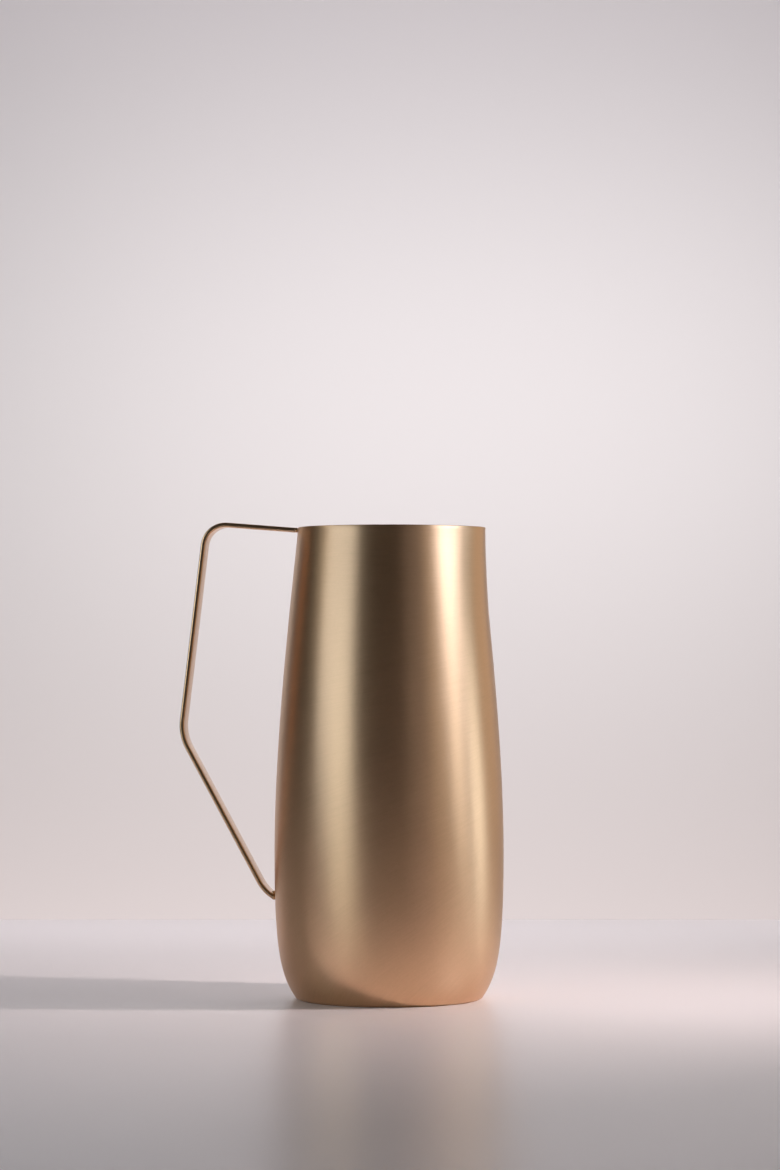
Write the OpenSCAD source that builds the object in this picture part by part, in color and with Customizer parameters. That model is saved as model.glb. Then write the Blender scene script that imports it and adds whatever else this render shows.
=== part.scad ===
// A tall open jug formed from thin sheet, with a small pouring lip and a handle bent from flat strap.
// Millimetres. The origin is the centre of the foot, on the jug's axis.
// +Z points up, +X points to the pouring lip, and the handle is on the -X side.

/* [Body] */
// Height from the resting surface to the rim
jug_h = 225; // [215:1:240]
// Outer radius of the wall at the foot
foot_r = 44.2; // [43:0.1:46]
// Outer radius of the wall where it is widest
belly_r = 54.8; // [53:0.1:57]
// Height at which the wall is widest
belly_z = 70; // [62:1:78]
// Outer radius of the rim, away from the lip
rim_r = 43.7; // [42:0.1:45]
// Thickness of the wall's sheet
wall_t = 0.7; // [0.5:0.1:1]

/* [Pouring lip] */
// How far the lip stands out from the round rim
lip_reach = 2.6; // [1:0.1:5]
// How far below the rim the lip begins
lip_depth = 45; // [30:1:60]
// Angle from the lip's ridge to where its flank meets the round wall, in degrees
lip_half_angle = 52; // [35:1:70]
// How pointed the ridge is
lip_focus = 2.6; // [2:0.1:4]

/* [Base] */
// Thickness of the base plate
plate_t = 1; // [0.8:0.1:1.5]
// Gap between the wall's lower edge and the resting surface
foot_gap = 0.3; // [0.2:0.1:0.6]
// Size of the weld that joins the plate to the wall inside
base_weld_h = 0.9; // [0.6:0.1:1.5]

/* [Handle] */
// Width of the strap
strap_w = 12; // [10:0.5:15]
// Thickness of the strap
strap_t = 2.2; // [1.8:0.1:2.6]
// Radius along the strap's long edges
strap_edge_r = 0.8; // [0.3:0.1:0.8]
// Middle of the strap's upper end, below the rim
strap_top_drop = 1.2; // [1.1:0.1:4]
// Distance from the axis to the upper corner of the handle
corner_reach = 88.2; // [82:0.1:92]
// Height of the upper corner above the rim
corner_rise = 2.3; // [0:0.1:4]
// Middle radius of the upper corner
corner_r = 10.9; // [8:0.1:13]
// Distance from the axis to the bend at the bottom of the grip
grip_reach = 100.4; // [96:0.1:104]
// Height of the bend at the bottom of the grip
grip_z = 125.8; // [118:0.1:132]
// Middle radius of the bend at the bottom of the grip
grip_r = 23; // [15:1:28]
// Distance from the axis to the bend next to the wall
tail_reach = 60; // [59.5:0.1:62]
// Height of the bend next to the wall
tail_z = 51.6; // [50:0.1:54]
// Middle radius of the bend next to the wall
tail_r = 20; // [12:1:22]
// Height at which the strap meets the wall
tail_end_z = 47.7; // [46:0.1:49]

/* [Handle welds] */
// Space between each end of the strap and the wall, filled by the weld
weld_gap = 1.1; // [0.8:0.1:1.4]
// Radius of the bead across each end of the strap
bead_r = 1.15; // [1:0.05:1.3]
// Radius of the bead in the sharp corner above the strap's lower end
fillet_r = 0.9; // [0.7:0.05:1.1]

/* [Hidden] */

BRASS = [0.78, 0.62, 0.44];
BRASS_WELD = [0.62, 0.50, 0.34];

ROUND = 96;        // segments of a full circle
FINE_ROUND = 360;  // segments of a large circle that a small bead is fitted to
BEND_STEPS = 12;   // steps round each bend of the strap
CORNER_STEPS = 4;  // steps round each corner of the strap's section
FIT = 0.05;        // clearance between welded pieces
HALVINGS = 24;     // steps of the search for a height on a profile curve
OVER = 1;          // how much wider a cutter is than what it cuts

// The outer profile is two cubic Bezier curves in [radius, height] that meet at the belly.
// These lengths place their inner control points.
foot_flare = 7.5;   // outward lean of the wall as it leaves the foot
foot_lift = 10.8;   // height of that control point
belly_below = 48;   // how long the wall stays upright below the belly
belly_above = 64;   // how long the wall stays upright above the belly
rim_upright = 8;    // how long the wall stays upright below the rim

foot_curve = [
    [foot_r, 0], [foot_r + foot_flare, foot_lift], [belly_r, belly_z - belly_below], [belly_r, belly_z]];
neck_curve = [
    [belly_r, belly_z], [belly_r, belly_z + belly_above], [rim_r, jug_h - rim_upright], [rim_r, jug_h]];

function bezier(c, t) =
    pow(1 - t, 3) * c[0] + 3 * pow(1 - t, 2) * t * c[1] + 3 * (1 - t) * t * t * c[2] + pow(t, 3) * c[3];

function bezier_slope(c, t) =
    3 * pow(1 - t, 2) * (c[1] - c[0]) + 6 * (1 - t) * t * (c[2] - c[1]) + 3 * t * t * (c[3] - c[2]);

// Parameter at which a profile curve reaches a height, found by halving
function at_height(c, z, low = 0, high = 1, steps = HALVINGS) =
    let (mid = (low + high) / 2)
    steps == 0 ? mid
    : bezier(c, mid)[1] < z ? at_height(c, z, mid, high, steps - 1)
    : at_height(c, z, low, mid, steps - 1);

function profile_curve(z) = z < belly_z ? foot_curve : neck_curve;

function outer_r(z) = let (c = profile_curve(z)) bezier(c, at_height(c, z))[0];

// The sheet keeps its thickness square to the wall, so a leaning wall is thicker along its radius
function inner_r(z) =
    let (c = profile_curve(z), t = at_height(c, z), s = bezier_slope(c, t))
    bezier(c, t)[0] - wall_t * norm(s) / s[1];

// The lip moves the wall outwards: most at the rim, and least at the edges of its flanks
lip_base_z = jug_h - lip_depth;
lip_ease = 1.5;  // how gently the lip grows out of the wall: 1 would be a straight ramp

function lip_rise(z) = z <= lip_base_z ? 0 : pow((z - lip_base_z) / lip_depth, lip_ease);

function lip_share(a) = abs(a) >= lip_half_angle ? 0 : pow(cos(90 * a / lip_half_angle), lip_focus);

// ---------- body wall ----------

foot_rows = 10;  // levels of the wall below the belly
neck_rows = 18;  // levels of the wall above the belly
rim_steps = 4;   // steps over the rounded rim
rim_centre_z = jug_h - wall_t / 2;
foot_start = at_height(foot_curve, foot_gap);
neck_end = at_height(neck_curve, rim_centre_z);

wall_levels = concat(
    [for (i = [0:foot_rows - 1]) bezier(foot_curve, foot_start + (1 - foot_start) * i / foot_rows)[1]],
    [for (i = [0:neck_rows]) bezier(neck_curve, neck_end * i / neck_rows)[1]]);

// Closed section of the sheet: up the outside, over the rounded rim, and down the inside
wall_section = concat(
    [for (z = wall_levels) [outer_r(z), z]],
    [for (i = [1:rim_steps - 1])
        let (a = 180 * i / rim_steps)
        [rim_r - wall_t / 2 * (1 - cos(a)), rim_centre_z + wall_t / 2 * sin(a)]],
    [for (i = [len(wall_levels) - 1:-1:0]) [inner_r(wall_levels[i]), wall_levels[i]]]);

module body_wall() {
    rows = len(wall_section);
    points = [
        for (j = [0:ROUND - 1])
            let (a = 360 * j / ROUND - 180)
            for (p = wall_section)
                let (r = p[0] + lip_reach * lip_rise(p[1]) * lip_share(a))
                [r * cos(a), r * sin(a), p[1]]];
    faces = [
        for (j = [0:ROUND - 1])
            for (i = [0:rows - 1])
                let (k = (j + 1) % ROUND, m = (i + 1) % rows)
                [j * rows + i, j * rows + m, k * rows + m, k * rows + i]];
    color(BRASS) polyhedron(points, faces, convexity = 6);
}

// ---------- base ----------

plate_r = inner_r(foot_gap) - FIT;

module base_plate() {
    color(BRASS) cylinder(r = plate_r, h = plate_t, $fn = ROUND);
}

module base_weld() {
    top_z = plate_t + base_weld_h;
    color(BRASS_WELD) rotate_extrude($fn = ROUND) polygon([
        [plate_r - base_weld_h, plate_t],
        [inner_r(plate_t) - FIT, plate_t],
        [inner_r(top_z) - FIT, top_z]]);
}

// ---------- handle ----------

// Middle line of the strap in [x, z], from the rim out and down to the wall again
strap_top_z = jug_h - strap_top_drop;
strap_line = [
    [-outer_r(strap_top_z), strap_top_z],
    [-corner_reach, jug_h + corner_rise],
    [-grip_reach, grip_z],
    [-tail_reach, tail_z],
    [-outer_r(tail_end_z), tail_end_z]];
bend_radii = [corner_r, grip_r, tail_r];
last_run = len(strap_line) - 2;  // the straight run that meets the wall

function along(i) = let (d = strap_line[i + 1] - strap_line[i]) d / norm(d);

function left_of(d) = [-d[1], d[0]];

function bend_turn(i) = acos(along(i - 1) * along(i));

function setback(i) = bend_radii[i - 1] * tan(bend_turn(i) / 2);

// A run is shortened by the bends at its ends, or by the weld's gap where it meets the wall
function run_start(i) = strap_line[i] + along(i) * (i == 0 ? weld_gap : setback(i));

function run_end(i) =
    strap_line[i + 1] - along(i) * (i == last_run ? weld_gap : setback(i + 1));

function heading(i) = atan2(along(i)[1], along(i)[0]);

function bend_centre(i) = run_end(i - 1) + bend_radii[i - 1] * left_of(along(i - 1));

// Places along the middle line, each with the strap's heading there
strap_stations = concat(
    [[run_start(0), heading(0)]],
    [for (i = [1:len(bend_radii)])
        for (k = [0:BEND_STEPS])
            let (h = heading(i - 1) + bend_turn(i) * k / BEND_STEPS)
            [bend_centre(i) + bend_radii[i - 1] * [sin(h), -cos(h)], h]],
    [[run_end(last_run), heading(last_run)]]);

// Section of the strap: a rectangle with rounded corners, as [across its thickness, across its width]
strap_outline = [
    for (corner = [[1, 1], [-1, 1], [-1, -1], [1, -1]])
        for (k = [0:CORNER_STEPS])
            let (turned = corner[0] * corner[1] > 0 ? k : CORNER_STEPS - k, a = 90 * turned / CORNER_STEPS)
            [corner[0] * (strap_t / 2 - strap_edge_r * (1 - cos(a))),
             corner[1] * (strap_w / 2 - strap_edge_r * (1 - sin(a)))]];

module handle_strap() {
    size = len(strap_outline);
    last = len(strap_stations) - 1;
    points = [
        for (s = strap_stations)
            for (p = strap_outline)
                [s[0][0] - p[0] * sin(s[1]), p[1], s[0][1] + p[0] * cos(s[1])]];
    sides = [
        for (i = [0:last - 1])
            for (k = [0:size - 1])
                let (m = (k + 1) % size)
                [i * size + k, i * size + m, (i + 1) * size + m, (i + 1) * size + k]];
    caps = [[for (k = [size - 1:-1:0]) k], [for (k = [0:size - 1]) last * size + k]];
    color(BRASS) polyhedron(points, concat(sides, caps), convexity = 6);
}

// One straight run of the strap on its own
module strap_run(i) {
    p = run_start(i);
    q = run_end(i);
    translate([p[0], 0, p[1]])
        rotate([0, atan2(q[0] - p[0], q[1] - p[1]), 0])
            linear_extrude(norm(q - p))
                square([strap_t, strap_w + OVER], center = true);
}

// ---------- handle welds ----------

// A round bead laid across the strap, with rounded ends
module bead(at, r) {
    half = strap_w / 2;
    translate([at[0], 0, at[1]])
        rotate([90, 0, 0])
            rotate_extrude($fn = ROUND)
                intersection() {
                    translate([0, -half]) square([r, strap_w]);
                    union() {
                        translate([0, r - half]) square([r, strap_w - 2 * r]);
                        for (y = [r - half, half - r]) translate([0, y]) circle(r = r, $fn = ROUND);
                    }
                }
}

cut_reach = 4 * bead_r;  // how far a bead is cut back above and below the strap's end

// A little more than the wall's outside over a short height, to cut a bead back to the wall
module wall_cutter(z) {
    low = z - cut_reach;
    high = z + cut_reach;
    r_low = outer_r(low) + FIT;
    r_high = outer_r(min(high, jug_h)) + FIT;
    translate([0, 0, low]) cylinder(r1 = r_low, r2 = r_high, h = high - low, $fn = FINE_ROUND);
}

module upper_handle_weld() {
    color(BRASS_WELD) difference() {
        bead(strap_line[0] + along(0) * weld_gap / 2, bead_r);
        wall_cutter(strap_top_z);
        strap_run(0);
    }
}

// The strap's lower end meets the wall at this angle from upright
tail_lean = atan2(along(last_run)[0], -along(last_run)[1]);
fillet_seat = 1.5;  // how far the upper bead sits from the point of the corner, in its own radii

module lower_handle_weld() {
    end = strap_line[last_run + 1];
    corner = end + [0, strap_t / 2 / sin(tail_lean)];
    fillet_at = corner + fillet_seat * fillet_r * [-sin(tail_lean / 2), cos(tail_lean / 2)];
    color(BRASS_WELD) difference() {
        union() {
            bead(end - along(last_run) * weld_gap / 2, bead_r);
            bead(fillet_at, fillet_r);
        }
        wall_cutter(tail_end_z);
        strap_run(last_run);
    }
}

body_wall();
base_plate();
base_weld();
handle_strap();
upper_handle_weld();
lower_handle_weld();
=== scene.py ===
# Looks for the open brass jug: smooth meshes and brushed-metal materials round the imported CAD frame.
# Metres. The jug stands at the origin, +Z is up, +X is the pouring lip and -X the handle.
import math

import bmesh
import bpy
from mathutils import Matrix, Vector


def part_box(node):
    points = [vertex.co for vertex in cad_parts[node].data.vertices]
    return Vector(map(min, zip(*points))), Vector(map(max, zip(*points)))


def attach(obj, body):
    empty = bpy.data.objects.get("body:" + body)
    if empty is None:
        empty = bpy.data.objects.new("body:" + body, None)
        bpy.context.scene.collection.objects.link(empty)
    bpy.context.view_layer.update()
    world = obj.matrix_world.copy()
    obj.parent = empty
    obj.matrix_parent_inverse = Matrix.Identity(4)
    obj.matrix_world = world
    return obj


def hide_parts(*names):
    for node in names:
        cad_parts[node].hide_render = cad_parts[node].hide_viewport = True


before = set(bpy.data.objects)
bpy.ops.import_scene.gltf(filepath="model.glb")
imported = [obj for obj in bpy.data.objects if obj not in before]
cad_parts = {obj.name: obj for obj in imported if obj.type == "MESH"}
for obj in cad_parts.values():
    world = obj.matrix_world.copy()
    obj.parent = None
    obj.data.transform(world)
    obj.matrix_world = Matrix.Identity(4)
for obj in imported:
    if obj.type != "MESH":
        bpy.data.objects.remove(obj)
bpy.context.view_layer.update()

MM = 0.001

# ---------- driving dimensions, the same as the CAD's ----------

WALL_LOW, WALL_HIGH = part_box("body_wall")
JUG_H = WALL_HIGH.z
FOOT_GAP = WALL_LOW.z
BELLY_R = (WALL_HIGH.y - WALL_LOW.y) / 2
BELLY_Z = 70 * MM
FOOT_R = 44.2 * MM
RIM_R = 43.7 * MM
WALL_T = 0.7 * MM
FOOT_EDGE_R = 0.55 * MM  # the wall's lower edge, softened by polishing
FOOT_ROW_EASE = 1.35  # above 1, rows of points crowd towards the foot
FOOT_FLARE = 7.5 * MM  # outward lean of the wall as it leaves the foot
FOOT_LIFT = 10.8 * MM  # height of that control point
BELLY_BELOW = 48 * MM  # how long the wall stays upright below the belly
BELLY_ABOVE = 64 * MM  # how long it stays upright above the belly
RIM_UPRIGHT = 8 * MM  # how long it stays upright below the rim

LIP_REACH = 2.6 * MM
LIP_DEPTH = 45 * MM
LIP_HALF_ANGLE = math.radians(52)
LIP_FOCUS = 2.6  # above 1, the lip gathers towards its middle
LIP_EASE = 1.5  # how gently the lip grows out of the wall: 1 would be a straight ramp

PLATE_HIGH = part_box("base_plate")[1]
PLATE_R = PLATE_HIGH.x
PLATE_T = PLATE_HIGH.z
PLATE_EDGE = 0.25 * MM
PLATE_HUB_R = 0.02 * MM  # a pinhole, so that no point is left on the axis

STRAP_LOW, STRAP_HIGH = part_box("handle_strap")
STRAP_W = STRAP_HIGH.y - STRAP_LOW.y
STRAP_T = 2.2 * MM
STRAP_EDGE_R = 0.8 * MM
STRAP_TOP_Z = JUG_H - 1.2 * MM
STRAP_CORNER = Vector((-88.2 * MM, JUG_H + 2.3 * MM))
STRAP_GRIP = Vector((-100.4 * MM, 125.8 * MM))
STRAP_TAIL = Vector((-60 * MM, 51.6 * MM))
STRAP_END_Z = 47.7 * MM
BEND_RADII = (10.9 * MM, 23 * MM, 20 * MM)
WELD_GAP = 1.1 * MM


# ---------- the jug's outline ----------


def bezier(c, t):
    weights = ((1 - t) ** 3, 3 * (1 - t) ** 2 * t, 3 * (1 - t) * t**2, t**3)
    return sum((w * p for w, p in zip(weights, c)), Vector((0, 0)))


def bezier_slope(c, t):
    weights = (3 * (1 - t) ** 2, 6 * (1 - t) * t, 3 * t**2)
    return sum((w * (q - p) for w, p, q in zip(weights, c, c[1:])), Vector((0, 0)))


FOOT_CURVE = [
    Vector((FOOT_R, 0)),
    Vector((FOOT_R + FOOT_FLARE, FOOT_LIFT)),
    Vector((BELLY_R, BELLY_Z - BELLY_BELOW)),
    Vector((BELLY_R, BELLY_Z)),
]
NECK_CURVE = [
    Vector((BELLY_R, BELLY_Z)),
    Vector((BELLY_R, BELLY_Z + BELLY_ABOVE)),
    Vector((RIM_R, JUG_H - RIM_UPRIGHT)),
    Vector((RIM_R, JUG_H)),
]


def wall_at(z):
    """Outer radius of the wall at a height, and the sheet's thickness measured along that radius."""
    curve = FOOT_CURVE if z < BELLY_Z else NECK_CURVE
    low, high = 0.0, 1.0
    for _ in range(30):
        middle = (low + high) / 2
        if bezier(curve, middle).y < z:
            low = middle
        else:
            high = middle
    slope = bezier_slope(curve, low)
    return bezier(curve, low).x, WALL_T * slope.length / slope.y


def outer_r(z):
    return wall_at(z)[0]


def lip_out(z, angle):
    """How far the pouring lip moves the wall outwards at a height and an angle from +X."""
    above = z - (JUG_H - LIP_DEPTH)
    if above <= 0 or abs(angle) >= LIP_HALF_ANGLE:
        return 0.0
    share = math.cos(math.pi / 2 * angle / LIP_HALF_ANGLE) ** LIP_FOCUS
    return LIP_REACH * (above / LIP_DEPTH) ** LIP_EASE * share


# ---------- mesh helpers ----------


def mesh_object(name, points, faces, sharp_angle=40):
    mesh = bpy.data.meshes.new(name)
    mesh.from_pydata([tuple(p) for p in points], [], faces)
    bm = bmesh.new()
    bm.from_mesh(mesh)
    bmesh.ops.recalc_face_normals(bm, faces=bm.faces)
    bm.to_mesh(mesh)
    bm.free()
    for polygon in mesh.polygons:
        polygon.use_smooth = True
    mesh.set_sharp_from_angle(angle=math.radians(sharp_angle))
    piece = bpy.data.objects.new(name, mesh)
    bpy.context.scene.collection.objects.link(piece)
    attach(piece, "root")
    return piece


def ring_faces(columns, rows):
    """Faces of a closed tube of columns that close into a ring, each a closed outline of rows points."""
    faces = []
    for j in range(columns):
        k = (j + 1) % columns
        for i in range(rows):
            m = (i + 1) % rows
            faces.append((j * rows + i, k * rows + i, k * rows + m, j * rows + m))
    return faces


def lathe(name, outline, columns=192, push=None, sharp_angle=40):
    """Turns a closed outline of (radius, height) round the axis. push(height, angle) moves it outwards."""
    points = []
    for j in range(columns):
        angle = 2 * math.pi * j / columns - math.pi
        for r, z in outline:
            out = r + (push(z, angle) if push else 0)
            points.append((out * math.cos(angle), out * math.sin(angle), z))
    return mesh_object(name, points, ring_faces(columns, len(outline)), sharp_angle)


def capped_tube(name, rings, sharp_angle=50):
    """Joins rings of points into a tube that is closed at both ends."""
    n = len(rings[0])
    last = len(rings) - 1
    points = [p for ring in rings for p in ring]
    faces = [(i * n + k, i * n + (k + 1) % n, (i + 1) * n + (k + 1) % n, (i + 1) * n + k)
             for i in range(last) for k in range(n)]
    faces += [tuple(range(n))[::-1], tuple(last * n + k for k in range(n))]
    return mesh_object(name, points, faces, sharp_angle)


# ---------- materials ----------


class Tree:
    """A new material and short names for building its node tree."""

    def __init__(self, name):
        self.material = bpy.data.materials.new(name)
        self.material.use_nodes = True
        self.tree = self.material.node_tree
        self.tree.nodes.clear()

    def put(self, socket, value):
        if isinstance(value, bpy.types.NodeSocket):
            self.tree.links.new(value, socket)
        else:
            socket.default_value = value

    def node(self, kind, inputs=None, **settings):
        node = self.tree.nodes.new(kind)
        for key, value in settings.items():
            setattr(node, key, value)
        for key, value in (inputs or {}).items():
            self.put(node.inputs[key], value)
        return node

    def math(self, operation, a, b=0.0):
        return self.node("ShaderNodeMath", {0: a, 1: b}, operation=operation).outputs[0]

    def total(self, *values):
        result = values[0]
        for value in values[1:]:
            result = self.math("ADD", result, value)
        return result

    def times(self, *values):
        result = values[0]
        for value in values[1:]:
            result = self.math("MULTIPLY", result, value)
        return result

    def ramp(self, value, low, high, to_low, to_high):
        inputs = {"Value": value, "From Min": low, "From Max": high, "To Min": to_low, "To Max": to_high}
        return self.node("ShaderNodeMapRange", inputs, clamp=True).outputs["Result"]

    def blend(self, share, a, b):
        return self.node("ShaderNodeMix", {0: share, 2: a, 3: b}, data_type="FLOAT").outputs[0]

    def blend_colour(self, share, a, b):
        return self.node("ShaderNodeMix", {0: share, 6: a, 7: b}, data_type="RGBA").outputs[2]

    def noise(self, vector, scale=1.0, detail=2.0, roughness=0.5):
        inputs = {"Vector": vector, "Scale": scale, "Detail": detail, "Roughness": roughness}
        return self.node("ShaderNodeTexNoise", inputs).outputs["Fac"]

    def vector(self, x, y, z=0.0):
        return self.node("ShaderNodeCombineXYZ", {0: x, 1: y, 2: z}).outputs[0]

    def here(self):
        return self.node("ShaderNodeTexCoord").outputs["Object"]

    def split(self, vector):
        return self.node("ShaderNodeSeparateXYZ", {0: vector}).outputs

    def finish(self, **inputs):
        shader = self.node("ShaderNodeBsdfPrincipled", {k.replace("_", " "): v for k, v in inputs.items()})
        self.node("ShaderNodeOutputMaterial", {"Surface": shader.outputs["BSDF"]})
        return self.material


BRASS = (0.78, 0.50, 0.30, 1)
BRASS_DEEP = (0.72, 0.455, 0.27, 1)
BRASS_WELD = (0.60, 0.38, 0.21, 1)

# The brush marks run level round the rim and climb more and more steeply towards the foot
FOOT_GRAIN_ANGLE = math.radians(45)
GRAIN_EASE = 1.3
GRAIN_BANDS = 5
MARK_PITCH = 0.6 * MM
MARK_LENGTH = 14 * MM
RING_PITCH = 0.5 * MM
BAND_SHIFT = 7.3  # gives each band of marks its own part of the noise
WALL_ROUGHNESS = (0.345, 0.395)
PLATE_ROUGHNESS = (0.31, 0.37)
STRAP_ROUGHNESS = 0.22
WELD_ROUGHNESS = 0.2
WALL_MARK_DEPTH = 0.008 * MM
PART_MARK_DEPTH = 0.01 * MM
WELD_RIPPLE_DEPTH = 0.06 * MM
QUARTER_TURN = 0.25


def brushed_wall():
    t = Tree("brushed_wall")
    here = t.here()
    x, y, z = t.split(here)
    around = t.times(t.math("ARCTAN2", y, x), 0.9 * BELLY_R)
    share = t.math("POWER", t.ramp(z, 0, JUG_H, 1, 0), GRAIN_EASE)
    marks = None
    for band in range(GRAIN_BANDS):
        centre = band / (GRAIN_BANDS - 1)
        c, s = math.cos(centre * FOOT_GRAIN_ANGLE), math.sin(centre * FOOT_GRAIN_ANGLE)
        across = t.math("SUBTRACT", t.times(z, c / MARK_PITCH), t.times(around, s / MARK_PITCH))
        along = t.total(t.times(z, s / MARK_LENGTH), t.times(around, c / MARK_LENGTH))
        streaks = t.noise(t.vector(across, along, BAND_SHIFT * band), 1.0, 3.0, 0.6)
        if marks is None:
            marks = streaks
        else:
            reach = 0.5 / (GRAIN_BANDS - 1)
            marks = t.blend(t.ramp(share, centre - 2 * reach, centre, 0, 1), marks, streaks)
    mottle = t.noise(here, 900.0, 2.0, 0.6)
    cloud = t.noise(here, 22.0, 2.0, 0.5)
    tone = t.total(t.times(marks, 0.6), t.times(mottle, 0.25), t.times(cloud, 0.15))
    rough = t.total(t.ramp(marks, 0.3, 0.7, *WALL_ROUGHNESS), t.ramp(cloud, 0.3, 0.7, -0.01, 0.01))
    height = t.total(t.times(marks, 0.7), t.times(mottle, 0.3))
    bump = t.node("ShaderNodeBump", {"Strength": 0.45, "Distance": WALL_MARK_DEPTH, "Height": height})
    tangent = t.node("ShaderNodeTangent", direction_type="RADIAL", axis="Z")
    turn = t.total(t.times(share, FOOT_GRAIN_ANGLE / (2 * math.pi)), QUARTER_TURN)
    return t.finish(
        Base_Color=t.blend_colour(t.ramp(tone, 0.35, 0.65, 0, 1), BRASS_DEEP, BRASS),
        Metallic=1.0,
        Roughness=rough,
        Anisotropic=0.55,
        Anisotropic_Rotation=turn,
        Normal=bump.outputs["Normal"],
        Tangent=tangent.outputs["Tangent"],
    )


def brushed_part(name, colour, deep, roughness, scale, depth=PART_MARK_DEPTH):
    """Satin metal whose marks are stretched along the axes where scale is small."""
    t = Tree(name)
    here = t.here()
    stretched = t.node("ShaderNodeMapping", {"Vector": here, "Scale": scale})
    marks = t.noise(stretched.outputs["Vector"], 1.0, 3.0, 0.6)
    mottle = t.noise(here, 700.0, 2.0, 0.6)
    height = t.total(t.times(marks, 0.7), t.times(mottle, 0.3))
    bump = t.node("ShaderNodeBump", {"Strength": 0.3, "Distance": depth, "Height": height})
    return t.finish(
        Base_Color=t.blend_colour(t.ramp(height, 0.35, 0.65, 0, 1), deep, colour),
        Metallic=1.0,
        Roughness=t.ramp(marks, 0.3, 0.7, roughness * 0.93, roughness * 1.07),
        Normal=bump.outputs["Normal"],
    )


def turned_plate():
    """Satin metal with fine rings round the jug's axis, as a lathe leaves them."""
    t = Tree("turned_plate")
    here = t.here()
    x, y, z = t.split(here)
    radius = t.math("SQRT", t.total(t.times(x, x), t.times(y, y)))
    angle = t.math("ARCTAN2", y, x)
    rings = t.noise(t.vector(t.times(radius, 1 / RING_PITCH), t.times(angle, 0.5)), 1.0, 3.0, 0.6)
    mottle = t.noise(here, 500.0, 2.0, 0.6)
    height = t.total(t.times(rings, 0.8), t.times(mottle, 0.2))
    bump = t.node("ShaderNodeBump", {"Strength": 0.4, "Distance": PART_MARK_DEPTH, "Height": height})
    return t.finish(
        Base_Color=t.blend_colour(t.ramp(height, 0.35, 0.65, 0, 1), BRASS_DEEP, BRASS),
        Metallic=1.0,
        Roughness=t.ramp(rings, 0.3, 0.7, *PLATE_ROUGHNESS),
        Anisotropic=0.5,
        Normal=bump.outputs["Normal"],
        Tangent=t.node("ShaderNodeTangent", direction_type="RADIAL", axis="Z").outputs["Tangent"],
    )


# ---------- the pieces ----------


def wall_outline():
    """Up the outside from the rounded foot, over the rounded rim and down the inside, as (radius, height)."""
    foot_rows, neck_rows, rim_steps, edge_steps = 44, 80, 8, 6
    rim_centre = JUG_H - WALL_T / 2
    edge_top = FOOT_GAP + FOOT_EDGE_R
    below = [edge_top + (BELLY_Z - edge_top) * (i / foot_rows) ** FOOT_ROW_EASE for i in range(foot_rows)]
    above = [BELLY_Z + (rim_centre - BELLY_Z) * i / neck_rows for i in range(neck_rows + 1)]
    outside, inside = [], []
    for z in below + above:
        r, thickness = wall_at(z)
        outside.append((r, z))
        inside.append((r - thickness, z))
    rim = []
    for i in range(1, rim_steps):
        a = math.pi * i / rim_steps
        rim.append((RIM_R - WALL_T / 2 * (1 - math.cos(a)), rim_centre + WALL_T / 2 * math.sin(a)))
    edge = []
    for i in range(edge_steps):
        a = math.pi / 2 * i / edge_steps
        z = edge_top - FOOT_EDGE_R * math.cos(a)
        edge.append((outer_r(z) - FOOT_EDGE_R * (1 - math.sin(a)), z))
    foot_r, thickness = wall_at(FOOT_GAP)
    return edge + outside + rim + inside[::-1] + [(foot_r - thickness, FOOT_GAP)]


def make_body():
    body = lathe("jug_wall", wall_outline(), columns=288, push=lip_out)
    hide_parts("body_wall")
    body.data.materials.append(brushed_wall())


def make_base():
    corner = 0.3 * PLATE_EDGE
    outline = [(PLATE_HUB_R, 0), (PLATE_R - PLATE_EDGE, 0), (PLATE_R - corner, corner), (PLATE_R, PLATE_EDGE),
               (PLATE_R, PLATE_T), (PLATE_HUB_R, PLATE_T)]
    plate = lathe("base_disc", outline, sharp_angle=30)
    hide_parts("base_plate")
    plate.data.materials.append(turned_plate())


def pointing(heading):
    return Vector((math.cos(heading), math.sin(heading)))


STRAP_LINE = [
    Vector((-outer_r(STRAP_TOP_Z), STRAP_TOP_Z)),
    STRAP_CORNER,
    STRAP_GRIP,
    STRAP_TAIL,
    Vector((-outer_r(STRAP_END_Z), STRAP_END_Z)),
]
STRAP_HEADINGS = [math.atan2((q - p).y, (q - p).x) % (2 * math.pi)
                  for p, q in zip(STRAP_LINE, STRAP_LINE[1:])]


def between(p, q, heading, step=4 * MM):
    """Stations spread along a straight run, without its two ends."""
    count = max(2, round((q - p).length / step))
    return [(p.lerp(q, i / count), heading) for i in range(1, count)]


def strap_stations(bend_steps=32):
    """Places along the strap's middle line, each with its heading, from the rim to the handle's foot."""
    here = STRAP_LINE[0] + WELD_GAP * pointing(STRAP_HEADINGS[0])
    stations = [(here, STRAP_HEADINGS[0])]
    for corner, radius, before, after in zip(STRAP_LINE[1:], BEND_RADII, STRAP_HEADINGS, STRAP_HEADINGS[1:]):
        ahead = pointing(before)
        bend_start = corner - ahead * radius * math.tan((after - before) / 2)
        centre = bend_start + radius * Vector((-ahead.y, ahead.x))
        stations += between(here, bend_start, before)
        for k in range(bend_steps + 1):
            heading = before + (after - before) * k / bend_steps
            here = centre + radius * Vector((math.sin(heading), -math.cos(heading)))
            stations.append((here, heading))
    end = STRAP_LINE[-1] - WELD_GAP * pointing(STRAP_HEADINGS[-1])
    return stations + between(here, end, STRAP_HEADINGS[-1]) + [(end, STRAP_HEADINGS[-1])]


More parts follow.
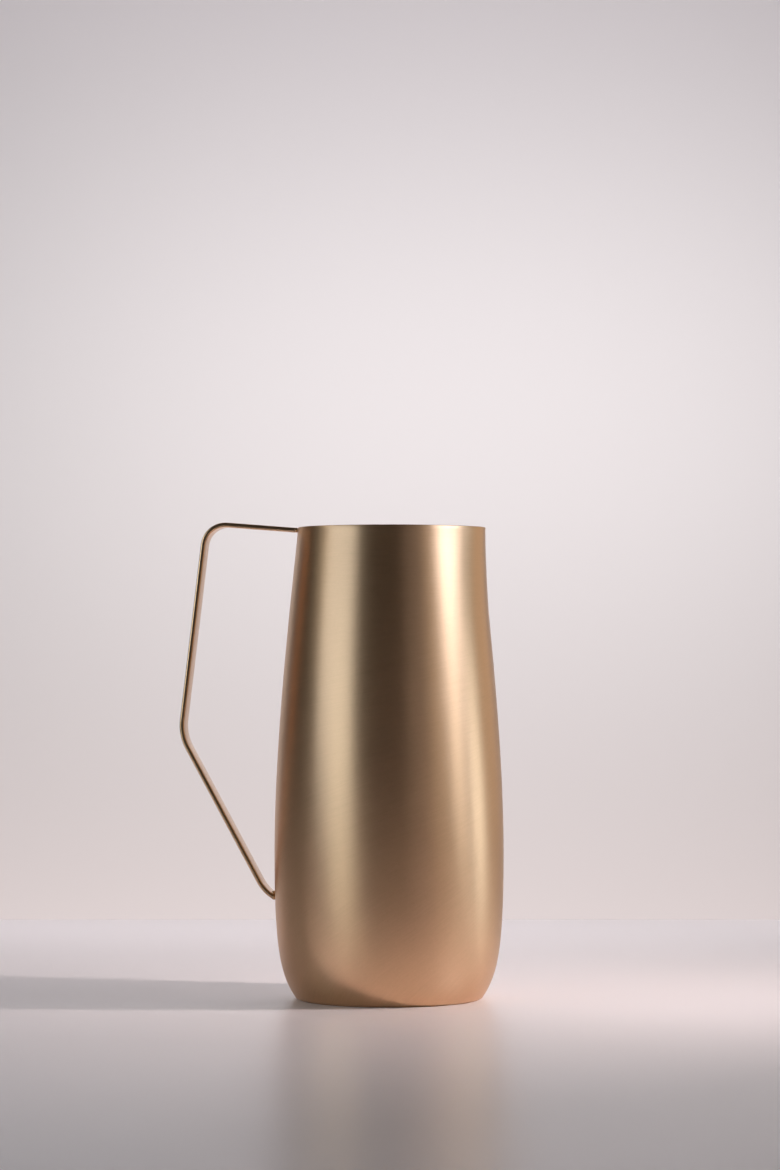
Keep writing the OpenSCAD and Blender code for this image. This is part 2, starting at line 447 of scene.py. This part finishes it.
def strap_section(corner_steps=6):
    """A rectangle with rounded corners, as (across the strap's thickness, across its width)."""
    points = []
    for u, v in ((1, 1), (-1, 1), (-1, -1), (1, -1)):
        for k in range(corner_steps + 1):
            a = math.pi / 2 * (k if u * v > 0 else corner_steps - k) / corner_steps
            points.append((u * (STRAP_T / 2 - STRAP_EDGE_R * (1 - math.cos(a))),
                           v * (STRAP_W / 2 - STRAP_EDGE_R * (1 - math.sin(a)))))
    return points


def make_strap():
    section = strap_section()
    rings = [[(p.x - u * math.sin(heading), v, p.y + u * math.cos(heading)) for u, v in section]
             for p, heading in strap_stations()]
    strap = capped_tube("strap", rings)
    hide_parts("handle_strap")
    material = brushed_part("brushed_strap", BRASS, BRASS_DEEP, STRAP_ROUGHNESS, (900, 2500, 900))
    strap.data.materials.append(material)


def make_welds():
    material = brushed_part("weld_brass", BRASS_WELD, BRASS_DEEP, WELD_ROUGHNESS, (300, 1200, 300),
                            WELD_RIPPLE_DEPTH)
    for name in ("base_weld", "upper_handle_weld", "lower_handle_weld"):
        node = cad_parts[name]
        node.data.materials.clear()
        node.data.materials.append(material)


# ---------- camera, stage and light ----------

CAMERA_AZIMUTH = math.radians(7)  # how far the camera stands round towards the lip
CAMERA_DISTANCE = 1.667
CAMERA_HEIGHT = 0.1668
AIM_HEIGHT = 0.1975
AIM_SIDE = 0.00045
FOCAL_LENGTH = 107.1

TABLE_BEHIND = 0.483
TABLE_BEFORE = 0.8
TABLE_SIDE = 1
TABLE_DROP = 0.02 * MM  # keeps the table out of the base plate's plane
BACKDROP_BEHIND = 1.7
BACKDROP_LEFT = 2
BACKDROP_RIGHT = 4
BACKDROP_LOW = -1
BACKDROP_HIGH = 3
TABLE_COLOUR = (0.865, 0.795, 0.79, 1)
BACKDROP_COLOUR = (0.80, 0.76, 0.765, 1)
ROOM_MIRRORED = (0.030, 0.028, 0.023, 1)
ROOM_SEEN = (0.76, 0.71, 0.72, 1)
KEY_ANGLE = 75.5
KEY_HEIGHT = 0.46
KEY_SIZE = (0.36, 0.22)


def in_view(side, away, up):
    """A place given as the camera sees it: to the right of the jug, away behind it, and up."""
    c, s = math.cos(CAMERA_AZIMUTH), math.sin(CAMERA_AZIMUTH)
    return Vector((side * c - away * s, side * s + away * c, up))


def round_jug(degrees, distance, up):
    """A place round the jug: 0 degrees is towards the camera and 90 is to the right of the picture."""
    a = math.radians(degrees)
    return in_view(distance * math.sin(a), -distance * math.cos(a), up)


def make_camera():
    data = bpy.data.cameras.new("camera")
    data.lens = FOCAL_LENGTH
    data.sensor_width = 36
    data.clip_end = 30
    camera = bpy.data.objects.new("camera", data)
    bpy.context.scene.collection.objects.link(camera)
    camera.location = in_view(0, -CAMERA_DISTANCE, CAMERA_HEIGHT)
    aim = in_view(AIM_SIDE, 0, AIM_HEIGHT)
    camera.rotation_euler = (aim - camera.location).to_track_quat("-Z", "Y").to_euler()
    bpy.context.scene.camera = camera


def stage_plane(name, corners, colour, roughness, shine):
    mesh = bpy.data.meshes.new(name)
    mesh.from_pydata([tuple(c) for c in corners], [], [(0, 1, 2, 3)])
    obj = bpy.data.objects.new(name, mesh)
    bpy.context.scene.collection.objects.link(obj)
    material = Tree(name).finish(Base_Color=colour, Roughness=roughness, Specular_IOR_Level=shine)
    obj.data.materials.append(material)


def make_stage():
    left, right, near, far, top = -TABLE_SIDE, TABLE_SIDE, -TABLE_BEFORE, TABLE_BEHIND, -TABLE_DROP
    stage_plane("floor", [in_view(left, near, top), in_view(right, near, top), in_view(right, far, top),
                          in_view(left, far, top)], TABLE_COLOUR, 0.33, 1)
    left, right, low, high = -BACKDROP_LEFT, BACKDROP_RIGHT, BACKDROP_LOW, BACKDROP_HIGH
    back = BACKDROP_BEHIND
    stage_plane("backdrop", [in_view(left, back, low), in_view(right, back, low), in_view(right, back, high),
                             in_view(left, back, high)], BACKDROP_COLOUR, 0.9, 0.5)


def area_light(name, place, target, size, power, colour=(1, 1, 1)):
    data = bpy.data.lights.new(name, "AREA")
    data.shape = "RECTANGLE"
    data.size, data.size_y = size
    data.energy = power
    data.color = colour
    light = bpy.data.objects.new(name, data)
    bpy.context.scene.collection.objects.link(light)
    light.location = place
    light.rotation_euler = (target - place).to_track_quat("-Z", "Y").to_euler()
    light.visible_camera = False
    return light


def make_world():
    """Dim where the metal mirrors it, and pale where the camera sees it directly."""
    world = bpy.data.worlds.new("world")
    world.use_nodes = True
    tree = world.node_tree
    room = tree.nodes["Background"]
    room.inputs["Color"].default_value = ROOM_MIRRORED
    seen = tree.nodes.new("ShaderNodeBackground")
    seen.inputs["Color"].default_value = ROOM_SEEN
    mix = tree.nodes.new("ShaderNodeMixShader")
    path = tree.nodes.new("ShaderNodeLightPath")
    tree.links.new(path.outputs["Is Camera Ray"], mix.inputs["Fac"])
    tree.links.new(room.outputs["Background"], mix.inputs[1])
    tree.links.new(seen.outputs["Background"], mix.inputs[2])
    tree.links.new(mix.outputs["Shader"], tree.nodes["World Output"].inputs["Surface"])
    bpy.context.scene.world = world


def make_lights():
    """Softboxes round the jug, each facing its axis, and lamps for the table and the backdrop alone.

    Most of the strengths and colours were first fitted to the photograph by a scratch program, then rounded,
    and some were changed by hand.
    """
    for name, degrees, distance, up, aim, size, power, colour in (
            ("key", KEY_ANGLE, 0.7, KEY_HEIGHT, KEY_HEIGHT, KEY_SIZE, 1.5, (1, 0.95, 0.93)),
            ("key_low", 98, 0.7, 0.12, 0.12, (0.20, 0.20), 0.37, (0.78, 0.92, 1)),
            ("skirt", 72, 0.7, 0.16, 0.16, (0.14, 0.20), 0.18, (0.93, 1, 1)),
            ("left", -60, 0.9, 0.33, 0.33, (0.66, 0.30), 1.5, (0.68, 0.84, 1)),
            ("left_low", -48, 0.9, 0.10, 0.10, (0.40, 0.18), 0.26, (0.84, 1, 0.98)),
            ("left_high", -88, 0.9, 0.70, 0.70, (0.25, 0.45), 0.67, (0.94, 1, 0.94)),
            ("front_fill", 30, 1.2, 0.4, 0.15, (0.50, 0.80), 0.2, (1, 0.92, 0.98)),
            ("right_fill", 52, 1.2, 0.4, 0.15, (0.40, 0.80), 0.46, (1, 0.9, 0.77)),
            ("right_rear", 128, 1.1, 0.4, 0.10, (0.70, 0.80), 0.95, (1, 0.84, 0.65))):
        area_light(name, round_jug(degrees, distance, up), Vector((0, 0, aim)), size, power, colour)
    # A bluer sheen, seen only as a reflection. It stands just in front of the key, because two lamps in one
    # place hide each other.
    gleam = area_light("gleam", round_jug(KEY_ANGLE, 0.69, KEY_HEIGHT), Vector((0, 0, KEY_HEIGHT)), KEY_SIZE,
                       0.95, (0.15, 0.48, 1))
    gleam.visible_diffuse = False

    far_table = area_light("far_table", in_view(-0.12, 0.45, 0.27), in_view(-0.12, 0.4, 0), (1.2, 0.12), 1.1,
                           (0.94, 0.94, 1))
    # Small and near, for the jug's crisp shadow on the table
    table_lamp = area_light("table_lamp", round_jug(81.5, 0.4, 0.355), in_view(-0.12, 0.03, 0), (0.04, 0.04),
                            0.5, (1, 0.87, 0.86))
    table_lamp.data.spread = math.radians(90)
    for lamp in (far_table, table_lamp):
        lamp.visible_glossy = False

    wall = BACKDROP_BEHIND
    area_light("wall_glow", in_view(0.1, 1.2, 0.42), in_view(0.1, wall, 0.42), (1.0, 0.35), 2.93)
    area_light("wall_left", in_view(-0.95, 1.35, 0.35), in_view(-0.95, wall, 0.35), (0.3, 0.6), 0.9,
               (0.9, 1, 1))
    area_light("wall_high", in_view(0, 1.2, 1.7), in_view(0, wall, 0.6), (2.0, 0.3), 7.5, (0.97, 0.9, 1))
    area_light("wall_low", in_view(-0.1, 1.4, -0.5), in_view(-0.1, wall, 0.2), (2.0, 0.2), 6.8,
               (1, 0.88, 0.85))


make_camera()
make_body()
make_base()
make_strap()
make_welds()
make_stage()
make_world()
make_lights()
bpy.context.scene.view_settings.view_transform = "Standard"
